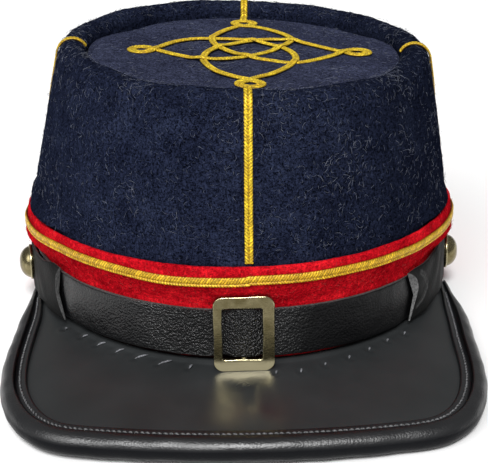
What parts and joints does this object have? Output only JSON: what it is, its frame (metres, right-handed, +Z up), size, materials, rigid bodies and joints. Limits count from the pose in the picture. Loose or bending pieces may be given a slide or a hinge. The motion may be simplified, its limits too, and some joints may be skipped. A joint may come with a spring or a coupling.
{
  "type": "kepi cap",
  "caption": "Felt cap with a forward-sloping crown, rolled rim, contrasting band, flat braid and a braid knot on top, buckled chin strap with side buttons, and a bound leather peak.",
  "frame": {"origin": "bottom centre of the bounding box, on the surface the cap rests on", "axes": "+Z up, -Y forward (the peak's side), +X the wearer's left"},
  "size_m": [0.192, 0.2614, 0.1162],
  "materials": {
    "navy_felt": "matt wool felt",
    "red_felt": "matt wool felt",
    "gold_braid": "soft sheen flat braid",
    "black_leather": "satin",
    "peak_leather": "polished",
    "brass": "aged satin"
  },
  "bodies": {
    "root": {"crown_wall": "navy_felt", "crown_tip": "navy_felt", "hat_band": "red_felt", "band_braid": "gold_braid", "front_braid": "gold_braid", "back_braid": "gold_braid", "left_braid": "gold_braid", "right_braid": "gold_braid", "tip_knot": "gold_braid", "chin_strap": "black_leather", "strap_tab_left": "black_leather", "strap_tab_right": "black_leather", "buckle": "brass", "button_left": "brass", "button_right": "brass", "peak": "peak_leather", "peak_binding": "black_leather"}
  },
  "joints": []
}
